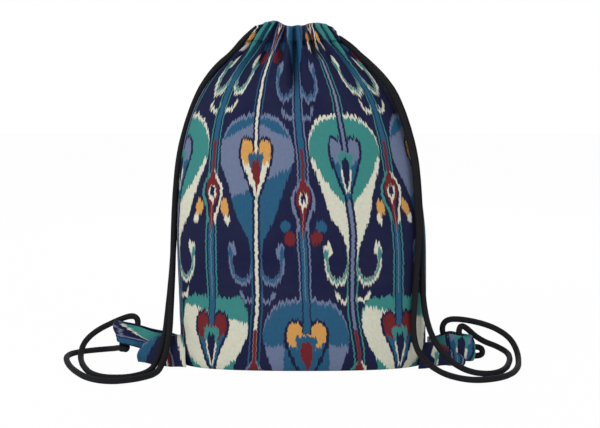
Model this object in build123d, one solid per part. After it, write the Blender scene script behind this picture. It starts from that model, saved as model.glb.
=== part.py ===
from build123d import *
import math
import os

# A drawstring backpack of printed canvas, standing filled, in millimetres.
# +Z is up, -Y is the front, and the origin is the middle of the flat base.

# Bag body
bag_width = 291.0
bag_depth = 127.0
bag_height = 397.0
cloth = 1.2
mouth_shift = -6.0
side_slit = 52.0
slit_gap = 2.0
fold_gap = 0.3

# Gathered casing round the mouth
casing_height = 23.0
casing_cloth = 1.7
casing_foot_half = 52.0
casing_top_half = 42.0
casing_foot_reach = 17.0
casing_top_reach = 15.0
casing_end_y = 6.0
stitch_length = 2.6
stitch_thread = 0.6
stitch_count = 15
stitch_rise = 4.5

# Cord, and its two runs inside the casing
cord = 7.0
cord_clearance = 0.8
run_half = 50.0
run_reach = 16.1
left_cord_drop = 6.4
right_cord_drop = 18.0

# Seams
seam_width = 8.0
seam_thickness = 3.0
seam_clearance = 0.3
base_seam_y = 8.0

# Cord tabs at the bottom corners
tab_gap = 1.5
tab_cloth = 1.6
tab_root_radius = 2.2
tab_throat_radius = 8.2
tab_throat = 16.0
tab_foot = 1.0
tab_root_top = 30.0
left_tab_reach = 74.0
left_nose_foot = 26.0
left_nose_top = 50.0
left_tab_turn = 8.4
right_tab_reach = 54.0
right_nose_foot = 2.0
right_nose_top = 33.0
right_tab_turn = -10.0
tack_thread = 0.8
knot_radius = 7.0
knot_clearance = 1.0
left_knot_z = 18.0
right_knot_z = 15.0

# Body outline: share of the slit's height, of the width and of the depth
body_outline = [
    (0.000, 0.880, 0.800),
    (0.017, 0.925, 0.885),
    (0.052, 0.952, 0.945),
    (0.105, 0.970, 0.975),
    (0.240, 1.000, 1.000),
    (0.443, 0.997, 0.992),
    (0.574, 0.969, 0.960),
    (0.704, 0.925, 0.920),
    (0.815, 0.855, 0.855),
    (0.913, 0.765, 0.750),
    (1.000, 0.615, 0.575),
]
# Shoulder outline, from the slit's foot (0) to the casing's foot (1)
shoulder_outline = [(0.52, 0.53, 0.54), (1.0, 0.0, 0.0)]

# Free strands, from the casing to the tab, each as one list of points, drawn for this bag and cord
drawn_width = 291.0
drawn_height = 397.0
drawn_cord = 7.0
tab_region_top = 60.0
fit_margin = 1.12
left_front_route = [
    (-56, -6, 390.6), (-66.5, -9.4, 379.5), (-81, -8.7, 361.5), (-97.5, -7.2, 348),
    (-111.8, -6.1, 331), (-123, -5, 312), (-135.3, -4.5, 279.5), (-144.7, -5, 242),
    (-149.1, -4.5, 197.5), (-151.5, -4, 153), (-153, -4.7, 100), (-154.5, -13.5, 66),
    (-155, -25.5, 37.5), (-158, -42.5, 17.5), (-162, -60.5, 6), (-164, -80.5, 3.8),
    (-171.5, -101.5, 3.7), (-191.5, -120.5, 3.7), (-211.5, -127.5, 3.7), (-236.5, -114.5, 3.7),
    (-260.2, -70.5, 3.7), (-274.5, -28.5, 3.7), (-281.5, 5.5, 3.7), (-276.5, 26.5, 3.8),
    (-258.5, 36.5, 4.5), (-238.5, 30.5, 7.5), (-224.5, 12.5, 12),
]
left_back_route = [
    (-56, 6, 390.6), (-67, 9, 380), (-82.5, 5.4, 361), (-98.3, 4.6, 348.5), (-112.8, 4.1, 331),
    (-123.5, 4, 312), (-135.5, 4.5, 279.5), (-144.9, 4, 242), (-149.1, 4.5, 197.5),
    (-150.9, 4, 153), (-155, 2.5, 100), (-158.5, -5.5, 64), (-161, -18.5, 35.5),
    (-165, -35.5, 16.5), (-170, -53.5, 6), (-173, -71.5, 3.7), (-180.5, -92.5, 3.7),
    (-197.5, -108.5, 3.7), (-220.5, -107.5, 3.7), (-238.5, -87.5, 3.7), (-249.5, -57.5, 3.7),
    (-258.5, -26.5, 4.1), (-262.5, -4.5, 9.5), (-259.5, 4.5, 21.5), (-245.5, 7, 34.5),
    (-223.5, 6.5, 45.5), (-204.5, 4, 53.5), (-195, -2, 52), (-194, -6.5, 42.5),
    (-200.5, -7.8, 33.5),
]
right_front_route = [
    (44, -6, 379), (55, -8.5, 373.5), (68, -11.5, 361), (82.9, -13.6, 348), (96.9, -16.3, 331.5),
    (108, -18.5, 313), (119, -23.5, 280), (127.5, -27, 240), (131, -30.5, 197), (133.3, -33.5, 153),
    (130.5, -35, 110), (128, -37.5, 72), (126.5, -42, 44.5), (129.5, -49.5, 24.5),
    (139.5, -62.5, 11.5), (153, -82.5, 4.7), (167.5, -107.5, 3.7), (188.5, -122.5, 3.7),
    (214.5, -112.5, 3.7), (233.5, -90.5, 3.7), (245.5, -57.5, 3.7), (251.5, -25.5, 4.5),
    (252.5, -4.5, 13.5), (245.5, 5.5, 26.5), (228.5, 8.5, 37.5), (208.5, 7, 44.5), (186.5, 4.5, 49),
    (170.5, 0.5, 49.5), (164, -2, 42.5), (165, -3.5, 31.5), (173.5, -5.1, 21.5),
]
right_back_route = [
    (44, 6, 379), (55.5, 6, 374), (72, 4, 362), (89.2, -0.6, 348.5), (102.9, -5.7, 331.5),
    (113, -10.5, 313.5), (123, -15.5, 280), (130.5, -19.5, 240), (134, -23.5, 197),
    (136.5, -26, 153), (137.5, -27.5, 110), (139, -30, 78), (142.5, -34, 55.5), (149, -40, 35.5),
    (160, -49.5, 18.5), (173.5, -61.5, 8), (187.5, -78.5, 3.9), (203.5, -90.5, 3.7),
    (219.5, -82.5, 3.7), (231, -61.5, 3.7), (238.5, -34.5, 3.7), (244, -8.5, 4.5), (243.5, 9.5, 8),
    (231.5, 16, 14), (215.5, 11.5, 20.5), (203.5, 8.8, 28.5), (194.5, 6.7, 37.5),
    (186.5, 0.5, 42.5), (183, -5, 35.5), (186, -6.5, 27.5),
]
tail_route = [
    (192.5, 5.7, 15.5), (205.5, 5, 16), (212.5, 4.2, 13.5), (213, 3.7, 6.7), (206.5, 4.5, 4.3), (193.5, 5.7, 4.7),
]
cut_gap = 0.6
shoulder_run = 3
left_floor_run = 9
right_floor_run = 9

# Heights and radii worked out from the sizes above
cord_radius = cord / 2
casing_thickness = cord + 2 * cord_clearance + 2 * casing_cloth
left_cord_z = bag_height - left_cord_drop
right_cord_z = bag_height - right_cord_drop
tab_axis = bag_width / 2 + tab_gap
tab_nose_radius = knot_radius + knot_clearance + tab_cloth
slit_z = bag_height - side_slit
casing_z = bag_height - casing_height
front_side = -1
back_side = 1


def section(z, half_width, half_depth, inset):
    shift = mouth_shift * (z / bag_height) ** 2
    return Pos(shift, 0, z) * Ellipse(half_width - inset, half_depth - inset)


def body_sections(inset):
    half_width = bag_width / 2
    half_depth = bag_depth / 2
    faces = []
    for rise, wide, deep in body_outline:
        z = max(rise * slit_z, inset)
        faces.append(section(z, wide * half_width, deep * half_depth, inset))
    slit_half_width = body_outline[-1][1] * half_width
    slit_half_depth = body_outline[-1][2] * half_depth
    casing_half_depth = casing_foot_reach + casing_thickness / 2
    for rise, wide, deep in shoulder_outline:
        z = slit_z + rise * (casing_z - slit_z)
        shoulder_width = casing_foot_half + wide * (slit_half_width - casing_foot_half)
        shoulder_depth = casing_half_depth + deep * (slit_half_depth - casing_half_depth)
        faces.append(section(z, shoulder_width, shoulder_depth, inset))
    return faces


def bag_shell():
    outside = loft(body_sections(0), ruled=True)
    inside = loft(body_sections(cloth), ruled=True)
    return outside - inside


def slab(side, low, high, gap):
    """A big box on one side of the XZ plane, between two heights."""
    reach = bag_width
    middle = Pos(0, side * (reach / 2 + gap), (low + high) / 2)
    return middle * Box(2 * reach, reach, high - low)


def base_strip():
    """The strip of base between the middle and the seam behind it."""
    return Pos(0, base_seam_y / 2, cloth / 2) * Box(2 * bag_width, base_seam_y, cloth)


def make_panels(shell):
    lower_front = slab(front_side, 0, slit_z - fold_gap / 2, 0) + base_strip()
    lower_back = slab(back_side, 0, slit_z - fold_gap / 2, 0) - base_strip()
    return shell & lower_front, shell & lower_back


def make_gathers(shell, side):
    return shell & slab(side, slit_z + fold_gap / 2, bag_height, slit_gap / 2)


def arc_circle(half, end_y, reach):
    """Centre distance and radius of the arc through the two ends and the middle."""
    bulge = reach - end_y
    radius = (half ** 2 + bulge ** 2) / (2 * bulge)
    return radius - reach, radius


def arc_band(half, end_y, reach, thickness, side):
    """A flat band along an arc across the bag that bulges to one side."""
    centre, radius = arc_circle(half, end_y, reach)
    angle = math.asin(half / radius)
    outer = radius + thickness / 2
    inner = radius - thickness / 2

    def at(distance, turn):
        return (distance * math.sin(turn), side * (distance * math.cos(turn) - centre))

    edges = [
        ThreePointArc(at(outer, -angle), at(outer, 0), at(outer, angle)),
        Line(at(outer, angle), at(inner, angle)),
        ThreePointArc(at(inner, angle), at(inner, 0), at(inner, -angle)),
        Line(at(inner, -angle), at(outer, -angle)),
    ]
    return make_face(edges)


def make_casing(side):
    foot = arc_band(casing_foot_half, casing_end_y, casing_foot_reach, casing_thickness, side)
    top = arc_band(casing_top_half, casing_end_y, casing_top_reach, casing_thickness, side)
    block = loft([Pos(0, 0, casing_z) * foot, Pos(0, 0, bag_height) * top], ruled=True)
    low = right_cord_z - cord_radius - cord_clearance
    high = left_cord_z + cord_radius + cord_clearance
    width = cord + 2 * cord_clearance
    tunnel = arc_band(1.15 * run_half, casing_end_y - 2, run_reach, width, side)
    block -= Pos(0, 0, low) * extrude(tunnel, high - low)
    # The inner wall is open at each cord's turn, so the mouth can open past it
    for end, z in ((1, left_cord_z), (-1, right_cord_z)):
        block -= Pos(end * (run_half + 2), 0, z) * Box(14, 2 * casing_end_y, width)
    block &= slab(side, casing_z, bag_height, slit_gap / 2)
    return Pos(mouth_shift, 0, 0) * block


def make_stitches(side):
    """The row of short stitches that closes the casing, along its outer face."""
    share = stitch_rise / casing_height
    half = casing_foot_half + share * (casing_top_half - casing_foot_half)
    reach = casing_foot_reach + share * (casing_top_reach - casing_foot_reach)
    centre, radius = arc_circle(half, casing_end_y, reach)
    outer = radius + casing_thickness / 2 + stitch_thread / 2 + 0.1
    limit = 0.9 * math.asin(half / radius)
    stitches = []
    for number in range(stitch_count):
        turn = limit * (2 * number / (stitch_count - 1) - 1)
        x = outer * math.sin(turn)
        y = side * (outer * math.cos(turn) - centre)
        stitch = Box(stitch_length, stitch_thread, stitch_thread)
        place = Pos(mouth_shift + x, y, casing_z + stitch_rise)
        stitches.append(place * Rot(0, 0, -side * math.degrees(turn)) * stitch)
    return Compound(children=stitches)


def run_angle():
    centre, radius = arc_circle(run_half, casing_end_y, run_reach)
    return centre, radius, math.asin(run_half / radius)


def make_casing_run(side, z):
    """One cord's length inside the casing, as a tube along an arc."""
    centre, radius, angle = run_angle()

    def at(turn):
        return (radius * math.sin(turn), side * (radius * math.cos(turn) - centre), z)

    path = ThreePointArc(at(-angle), at(0), at(angle))
    return Pos(mouth_shift, 0, 0) * tube(path, cord_radius)


def bight_path(end, z):
    angle = run_angle()[2]
    radius = casing_end_y / math.cos(angle)
    reach = run_half + radius * (1 - math.sin(angle))
    ends = [(end * run_half, y, z) for y in (-casing_end_y, casing_end_y)]
    return ThreePointArc(ends[0], (end * reach, 0, z), ends[1])


def make_bight(end, z):
    """The cord's turn from the front casing into the back casing, at one end."""
    return Pos(mouth_shift, 0, 0) * tube(bight_path(end, z), cord_radius)


def tube(path, radius):
    start = Plane(origin=path @ 0, z_dir=path % 0)
    return sweep(start * Circle(radius), path=path)


def corner_radii(points):
    """Each corner's radius: 0.45 of the shorter run over the tangent of half the turn."""
    radii = []
    for before, corner, after in zip(points, points[1:], points[2:]):
        first = Vector(*corner) - Vector(*before)
        second = Vector(*after) - Vector(*corner)
        half_turn = math.radians(first.get_angle(second) / 2)
        radii.append(0.45 * min(first.length, second.length) / math.tan(half_turn))
    return radii


def width_share(z):
    """How much of a change in the bag's width a strand's point at this drawn height follows."""
    drawn_slit = drawn_height - side_slit
    drawn_casing = drawn_height - casing_height
    heights = [(rise * drawn_slit, wide) for rise, wide, deep in body_outline[4:]]
    heights.append((drawn_casing, 0.0))
    if z <= heights[0][0]:
        return 1.0
    for (low, low_share), (high, high_share) in zip(heights, heights[1:]):
        if z <= high:
            return low_share + (high_share - low_share) * (z - low) / (high - low)
    return 0.0


def fit_route(points, side):
    """The drawn points, moved with the bag's sides, its mouth and the cord's radius."""
    wider = fit_margin * (bag_width - drawn_width) / 2
    taller = bag_height - drawn_height
    thicker = (cord - drawn_cord) / 2
    top = drawn_height - side_slit
    right_exit = drawn_height - right_cord_drop
    fitted = []
    for x, y, z in points:
        end = 1 if x > 0 else -1
        rise = min(max((z - tab_region_top) / (top - tab_region_top), 0), 1)
        fitted.append((
            x + end * (wider * width_share(z) + thicker * (z < right_exit)),
            y + side * thicker * (z < top),
            z + taller * rise + thicker * (z < tab_region_top),
        ))
    return fitted


def cut_place(points, run, way):
    """Half the cut's gap before (-1) or after (1) the middle of a run."""
    before, after = Vector(*points[run]), Vector(*points[run + 1])
    place = (before + after) / 2 + (after - before).normalized() * (way * cut_gap / 2)
    return (place.X, place.Y, place.Z)


def cut_route(points, radii, first_run, last_run):
    """The part of a route between the middles of two runs; None is an end."""
    start = 0 if first_run is None else first_run + 1
    stop = len(points) if last_run is None else last_run + 1
    piece = list(points[start:stop])
    if first_run is not None:
        piece.insert(0, cut_place(points, first_run, 1))
    if last_run is not None:
        piece.append(cut_place(points, last_run, -1))
    first_corner = max(start, 1)
    last_corner = min(stop, len(points) - 1)
    return piece, radii[first_corner - 1:last_corner - 1]


def make_cord(points, radii, name):
    path = FilletPolyline(*points, radius=radii)
    solid = tube(path, cord_radius)
    expected = math.pi * cord_radius ** 2 * path.length
    smallest = min(radii)
    print(f"{name}: length {path.length:.0f}, smallest radius {smallest:.1f}, "
          f"volume {solid.volume / expected:.4f} of section times length")
    print("   radii " + " ".join(f"{radius:.0f}" for radius in radii))
    return solid


def end_at_knot(points, knot):
    """The route with one more point, on the knot's surface."""
    last = Vector(*points[-1])
    towards = (last - knot).normalized()
    touch = knot + towards * (knot_radius + seam_clearance)
    return points + [(touch.X, touch.Y, touch.Z)]


def make_strand(name, points, floor_run, knot):
    """A free strand in three parts: on the casing, on the bag and on the tab."""
    side = front_side if "front" in name else back_side
    route = end_at_knot(fit_route(points, side), knot)
    radii = corner_radii(route)
    parts = {"top": (None, shoulder_run), "strand": (shoulder_run, floor_run), "tail": (floor_run, None)}
    solids = {}
    for part, (first_run, last_run) in parts.items():
        piece, piece_radii = cut_route(route, radii, first_run, last_run)
        solids[f"{name}_{part}"] = make_cord(piece, piece_radii, f"{name}_{part}")
    return solids


def seam_strip_sections():
    half_width = bag_width / 2
    return [(rise * slit_z, wide * half_width) for rise, wide, deep in body_outline[1:]]


def make_side_seam(end):
    """The seam allowance inside one side, from near the base to the slit."""
    outer = []
    for z, half in seam_strip_sections():
        shift = mouth_shift * (z / bag_height) ** 2
        outer.append((shift + end * (half - cloth - seam_clearance), min(z, slit_z - fold_gap)))
    inner = [(x - end * seam_width, z) for x, z in reversed(outer)]
    face = Plane.XZ * make_face(Polyline(*outer, *inner, close=True))
    return extrude(face, seam_thickness / 2, both=True)


def make_base_seam():
    half = body_outline[0][1] * bag_width / 2 - 3 * seam_width
    middle = Pos(0, base_seam_y, cloth + seam_width / 2)
    return middle * Box(2 * half, seam_thickness, seam_width)


def tab_place(end, turn):
    return Pos(end * tab_axis, 0, 0) * Rot(0, 0, turn)


def tab_outline(end, inset, reach):
    nose_u = reach - tab_nose_radius
    circles = []
    if inset == 0:
        circles.append(Circle(tab_root_radius))
    else:
        circles.append(Pos(end * (2 * tab_root_radius + inset), 0) * Circle(tab_root_radius - inset))
    circles.append(Pos(end * tab_throat, 0) * Circle(tab_throat_radius - inset))
    circles.append(Pos(end * nose_u, 0) * Circle(tab_nose_radius - inset))
    edges = [edge for circle in circles for edge in circle.edges()]
    return make_hull(edges)


def make_tab(end, reach, nose_foot, nose_top, turn):
    """A folded strip of cloth, closed on itself into a loop round the cord."""
    loop = tab_outline(end, 0, reach) - tab_outline(end, tab_cloth, reach)
    tall = extrude(loop, 2 * tab_root_top)
    near = -end * tab_root_radius
    far = end * reach
    side_face = make_face(Polyline(
        (near, tab_foot), (far, nose_foot), (far, nose_top), (near, tab_root_top), close=True,
    ))
    window = extrude(Plane.XZ * side_face, 2 * tab_nose_radius, both=True)
    return tab_place(end, turn) * (tall & window)


def make_tab_root(end):
    """The tab's stitched end, which the side seam holds at the bottom corner."""
    outer = tab_axis - tab_root_radius - seam_clearance
    inner = bag_width / 2 * body_outline[0][1] - seam_width
    height = tab_root_top - tab_foot
    middle = Pos(end * (outer + inner) / 2, 0, tab_foot + height / 2)
    strip = middle * Box(outer - inner, 2 * tab_cloth, height)
    return strip - loft(body_sections(0), ruled=True)


def make_tacks(end):
    """Short thread bars across the tab's stitched end."""
    outer = tab_axis - tab_root_radius - seam_clearance
    bars = []
    for side in (front_side, back_side):
        for height in (0.82, 0.9):
            z = tab_foot + height * (tab_root_top - tab_foot)
            y = side * (tab_cloth + tack_thread / 2)
            bars.append(Pos(end * (outer - 1.6), y, z) * Box(3, tack_thread, tack_thread))
    return Compound(children=bars)


def knot_centre(end, reach, turn, z):
    nose_u = end * (reach - tab_nose_radius)
    angle = math.radians(turn)
    return Vector(end * tab_axis + nose_u * math.cos(angle), nose_u * math.sin(angle), z)


def make_knot(centre):
    return Pos(*centre) * Sphere(knot_radius)


def make_tail():
    route = fit_route(tail_route, back_side)
    return make_cord(route, corner_radii(route), "right_cord_tail")


def build_all():
    nodes = {}
    shell = bag_shell()
    nodes["front_panel"], nodes["back_panel"] = make_panels(shell)
    nodes["bottom_seam"] = make_base_seam()
    for name, side in (("front", front_side), ("back", back_side)):
        nodes[f"{name}_gathers"] = make_gathers(shell, side)
        nodes[f"{name}_casing"] = make_casing(side)
        nodes[f"{name}_casing_stitches"] = make_stitches(side)
        nodes[f"left_cord_{name}_run"] = make_casing_run(side, left_cord_z)
        nodes[f"right_cord_{name}_run"] = make_casing_run(side, right_cord_z)
    nodes["left_cord_bight"] = make_bight(1, left_cord_z)
    nodes["right_cord_bight"] = make_bight(-1, right_cord_z)
    for name, end in (("left", -1), ("right", 1)):
        nodes[f"{name}_side_seam"] = make_side_seam(end)
        nodes[f"{name}_tab_root"] = make_tab_root(end)
        nodes[f"{name}_tab_tacks"] = make_tacks(end)
    nodes["left_tab"] = make_tab(-1, left_tab_reach, left_nose_foot, left_nose_top, left_tab_turn)
    nodes["right_tab"] = make_tab(1, right_tab_reach, right_nose_foot, right_nose_top, right_tab_turn)
    left_knot = knot_centre(-1, left_tab_reach, left_tab_turn, left_knot_z)
    right_knot = knot_centre(1, right_tab_reach, right_tab_turn, right_knot_z)
    nodes["left_knot"] = make_knot(left_knot)
    nodes["right_knot"] = make_knot(right_knot)
    nodes["right_cord_tail"] = make_tail()
    nodes.update(make_strand("left_front", left_front_route, left_floor_run, left_knot))
    nodes.update(make_strand("left_back", left_back_route, left_floor_run, left_knot))
    nodes.update(make_strand("right_front", right_front_route, right_floor_run, right_knot))
    nodes.update(make_strand("right_back", right_back_route, right_floor_run, right_knot))
    return nodes


os.makedirs("parts", exist_ok=True)
for node_name, solid in build_all().items():
    export_step(solid, f"parts/{node_name}.step")
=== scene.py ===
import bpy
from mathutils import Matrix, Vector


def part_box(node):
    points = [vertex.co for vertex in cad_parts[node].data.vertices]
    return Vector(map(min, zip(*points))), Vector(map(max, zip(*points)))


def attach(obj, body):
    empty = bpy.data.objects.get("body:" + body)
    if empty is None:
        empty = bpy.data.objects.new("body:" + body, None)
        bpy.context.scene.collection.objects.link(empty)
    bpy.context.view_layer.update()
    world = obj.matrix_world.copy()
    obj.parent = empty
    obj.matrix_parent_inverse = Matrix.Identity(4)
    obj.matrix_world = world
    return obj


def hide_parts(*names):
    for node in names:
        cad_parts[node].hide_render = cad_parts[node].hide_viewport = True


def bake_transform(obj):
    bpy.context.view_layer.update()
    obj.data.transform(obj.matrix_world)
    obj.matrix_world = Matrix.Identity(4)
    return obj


bl_info = {
    "name": "Drawstring Backpack",
    "version": (1, 0, 0),
    "blender": (4, 5, 0),
    "location": "View3D > Sidebar > Backpack",
    "description": "Builds a printed canvas drawstring backpack around its packed frame",
    "category": "Object",
}

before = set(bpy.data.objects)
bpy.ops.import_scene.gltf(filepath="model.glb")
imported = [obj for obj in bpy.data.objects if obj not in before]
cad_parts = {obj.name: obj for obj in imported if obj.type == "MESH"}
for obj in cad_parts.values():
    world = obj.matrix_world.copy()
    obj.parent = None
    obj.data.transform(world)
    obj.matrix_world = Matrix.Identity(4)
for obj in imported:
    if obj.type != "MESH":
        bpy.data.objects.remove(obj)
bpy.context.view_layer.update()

import math

import bmesh
import bpy
from bpy.props import FloatProperty, FloatVectorProperty, PointerProperty
from bpy.types import Operator, Panel, PropertyGroup
from mathutils import Matrix, Vector, noise

MILLIMETRES = 1000.0
# Height in metres where a strand is two pieces
STRAND_SPLIT = 0.22
# A tab's strip: how far out its hinge is, and how wide the strip is, in metres
TAB_AXIS = 0.147
TAB_WIDTH = 0.030
# Width of the canvas's threads in millimetres. The braid's strands round the cord, and along each millimetre
THREAD_WIDTH = 0.55
BRAID_STRANDS = 8.0
BRAID_PITCH = 0.42

# The routes of the four free strands and of the loose tail, from the casing to the tab
LEFT_FRONT_ROUTE = [
    (-0.0525, -0.006, 0.3906), (-0.0665, -0.0094, 0.3795), (-0.081, -0.0087, 0.3615),
    (-0.0975, -0.0072, 0.348), (-0.1118, -0.0061, 0.331), (-0.123, -0.005, 0.312),
    (-0.1353, -0.0045, 0.2795), (-0.1447, -0.005, 0.242), (-0.1491, -0.0045, 0.1975),
    (-0.1515, -0.004, 0.153), (-0.153, -0.0047, 0.1), (-0.1545, -0.0135, 0.066),
    (-0.155, -0.0255, 0.0375), (-0.158, -0.0425, 0.0175), (-0.162, -0.0605, 0.006),
    (-0.164, -0.0805, 0.0038), (-0.1715, -0.1015, 0.0037), (-0.1915, -0.1205, 0.0037),
    (-0.2115, -0.1275, 0.0037), (-0.2365, -0.1145, 0.0037), (-0.2602, -0.0705, 0.0037),
    (-0.2745, -0.0285, 0.0037), (-0.2815, 0.0055, 0.0037), (-0.2765, 0.0265, 0.0038),
    (-0.2585, 0.0365, 0.0045), (-0.2385, 0.0305, 0.0075), (-0.2245, 0.0125, 0.012),
]
LEFT_BACK_ROUTE = [
    (-0.0525, 0.006, 0.3906), (-0.067, 0.009, 0.38), (-0.0825, 0.0054, 0.361), (-0.0983, 0.0046, 0.3485),
    (-0.1128, 0.0041, 0.331), (-0.1235, 0.004, 0.312), (-0.1355, 0.0045, 0.2795),
    (-0.1449, 0.004, 0.242), (-0.1491, 0.0045, 0.1975), (-0.1509, 0.004, 0.153), (-0.155, 0.0025, 0.1),
    (-0.1585, -0.0055, 0.064), (-0.161, -0.0185, 0.0355), (-0.165, -0.0355, 0.0165),
    (-0.17, -0.0535, 0.006), (-0.173, -0.0715, 0.0037), (-0.1805, -0.0925, 0.0037),
    (-0.1975, -0.1085, 0.0037), (-0.2205, -0.1075, 0.0037), (-0.2385, -0.0875, 0.0037),
    (-0.2495, -0.0575, 0.0037), (-0.2585, -0.0265, 0.0041), (-0.2625, -0.0045, 0.0095),
    (-0.2595, 0.0045, 0.0215), (-0.2455, 0.007, 0.0345), (-0.2235, 0.0065, 0.0455),
    (-0.2045, 0.004, 0.0535), (-0.195, -0.002, 0.052), (-0.194, -0.0065, 0.0425),
    (-0.2005, -0.0078, 0.0335),
]
RIGHT_FRONT_ROUTE = [
    (0.0405, -0.006, 0.379), (0.051, -0.0085, 0.3725), (0.064, -0.0115, 0.3605), (0.0765, -0.0136, 0.348),
    (0.0922, -0.0163, 0.3315), (0.1045, -0.0185, 0.313), (0.1175, -0.0235, 0.28), (0.1275, -0.027, 0.24),
    (0.131, -0.0305, 0.197), (0.1333, -0.0335, 0.153), (0.1305, -0.035, 0.11), (0.128, -0.0375, 0.072),
    (0.1265, -0.042, 0.0445), (0.1295, -0.0495, 0.0245), (0.1395, -0.0625, 0.0115),
    (0.153, -0.0825, 0.0047), (0.1675, -0.1075, 0.0037), (0.1885, -0.1225, 0.0037),
    (0.2145, -0.1125, 0.0037), (0.2335, -0.0905, 0.0037), (0.2455, -0.0575, 0.0037),
    (0.2515, -0.0255, 0.0045), (0.2525, -0.0045, 0.0135), (0.2455, 0.0055, 0.0265),
    (0.2285, 0.0085, 0.0375), (0.2085, 0.007, 0.0445), (0.1865, 0.0045, 0.049),
    (0.1705, 0.0005, 0.0495), (0.164, -0.002, 0.0425), (0.165, -0.0035, 0.0315),
    (0.1735, -0.0051, 0.0215),
]
RIGHT_BACK_ROUTE = [
    (0.0405, 0.006, 0.379), (0.0515, 0.0055, 0.3725), (0.0645, 0.0005, 0.3605), (0.079, -0.005, 0.348),
    (0.095, -0.008, 0.3315), (0.1075, -0.011, 0.3135), (0.1205, -0.0157, 0.28),
    (0.1305, -0.0195, 0.24), (0.134, -0.0235, 0.197), (0.1365, -0.026, 0.153), (0.1375, -0.0275, 0.11),
    (0.139, -0.03, 0.078), (0.1425, -0.034, 0.0555), (0.149, -0.04, 0.0355), (0.16, -0.0495, 0.0185),
    (0.1735, -0.0615, 0.008), (0.1875, -0.0785, 0.0039), (0.2035, -0.0905, 0.0037),
    (0.2195, -0.0825, 0.0037), (0.231, -0.0615, 0.0037), (0.2385, -0.0345, 0.0037),
    (0.244, -0.0085, 0.0045), (0.2435, 0.0095, 0.008), (0.2315, 0.016, 0.014), (0.2155, 0.0115, 0.0205),
    (0.2035, 0.0088, 0.0285), (0.1945, 0.0067, 0.0375), (0.1865, 0.0005, 0.0425),
    (0.183, -0.005, 0.0355), (0.186, -0.0065, 0.0275),
]
TAIL_ROUTE = [
    (0.1925, 0.0057, 0.0155), (0.2055, 0.005, 0.016), (0.2125, 0.0042, 0.0135), (0.213, 0.0037, 0.0067),
    (0.2065, 0.0045, 0.0043), (0.1935, 0.0057, 0.0047),
]

# The filled bag's outline: shares of the whole height, the half width, the half depth, and how far its
# middle leans, as a share of the half width
OUTLINE = [
    (0.000, 0.966, 0.930, 0.000), (0.015, 0.980, 0.962, 0.000), (0.045, 0.986, 0.982, 0.000),
    (0.090, 0.991, 0.995, 0.000), (0.209, 1.000, 1.000, -0.004), (0.385, 1.001, 0.992, -0.015),
    (0.500, 0.975, 0.960, -0.027), (0.612, 0.933, 0.920, -0.041), (0.708, 0.859, 0.850, -0.054),
    (0.793, 0.755, 0.745, -0.064), (0.858, 0.625, 0.600, -0.072), (0.917, 0.464, 0.455, -0.068),
    (0.946, 0.384, 0.372, -0.070), (0.970, 0.330, 0.330, -0.070), (0.988, 0.290, 0.296, -0.070),
    (1.000, 0.262, 0.270, -0.068),
]
# Height of the mouth's edge under the object's top, in metres, from the left end to the right
FRONT_EDGE = [
    (-1.00, 0.0095), (-0.86, 0.0045), (-0.70, 0.0010), (-0.52, -0.0008), (-0.36, 0.0006), (-0.22, 0.0040),
    (-0.08, 0.0055), (0.06, 0.0044), (0.20, 0.0046), (0.37, 0.0022), (0.56, 0.0016), (0.70, 0.0024),
    (0.84, 0.0048), (0.94, 0.0085), (1.00, 0.0120),
]
BACK_EDGE = [
    (-1.00, 0.0095), (-0.80, 0.0050), (-0.50, 0.0022), (-0.20, 0.0040), (0.00, 0.0062), (0.24, 0.0044),
    (0.50, 0.0030), (0.75, 0.0046), (1.00, 0.0120),
]

# Folds under the mouth: place at the top and at the foot as shares of the half width,
# height of the foot in metres, depth in metres, half width as a share
FRONT_FOLDS = [
    (0.00, 0.02, 0.296, 0.0175, 0.048), (0.30, 0.335, 0.350, 0.0175, 0.058),
    (-0.22, -0.17, 0.340, 0.0060, 0.045), (-0.42, -0.40, 0.330, 0.0052, 0.045),
    (-0.60, -0.56, 0.312, 0.0062, 0.050), (-0.79, -0.74, 0.296, 0.0050, 0.050),
    (-0.93, -0.88, 0.280, 0.0035, 0.035), (0.15, 0.17, 0.368, 0.0045, 0.035),
    (0.50, 0.47, 0.336, 0.0050, 0.045), (0.67, 0.64, 0.312, 0.0058, 0.050),
    (0.83, 0.79, 0.292, 0.0048, 0.045), (0.95, 0.91, 0.280, 0.0032, 0.035),
]
BACK_FOLDS = [
    (-0.18, -0.10, 0.318, 0.0090, 0.050), (0.12, 0.09, 0.304, 0.0095, 0.050),
    (-0.42, -0.38, 0.330, 0.0055, 0.050), (-0.60, -0.56, 0.308, 0.0050, 0.045),
    (-0.79, -0.74, 0.290, 0.0045, 0.050), (-0.92, -0.90, 0.284, 0.0030, 0.035),
    (0.34, 0.33, 0.335, 0.0055, 0.050), (0.54, 0.52, 0.312, 0.0055, 0.050),
    (0.74, 0.70, 0.296, 0.0045, 0.050), (0.90, 0.86, 0.282, 0.0030, 0.040),
]


def srgb(red, green, blue):
    """A colour written 0 to 255 as a linear one."""
    channels = []
    for value in (red, green, blue):
        share = value / 255
        channels.append(share / 12.92 if share <= 0.04045 else ((share + 0.055) / 1.055) ** 2.4)
    return tuple(channels)


def length_prop(name, description, default):
    return FloatProperty(name=name, description=description, default=default, min=0.0, unit="LENGTH")


def colour_prop(name, description, default):
    return FloatVectorProperty(name=name, description=description, default=default, size=3,
                               min=0.0, max=1.0, subtype="COLOR")


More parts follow.
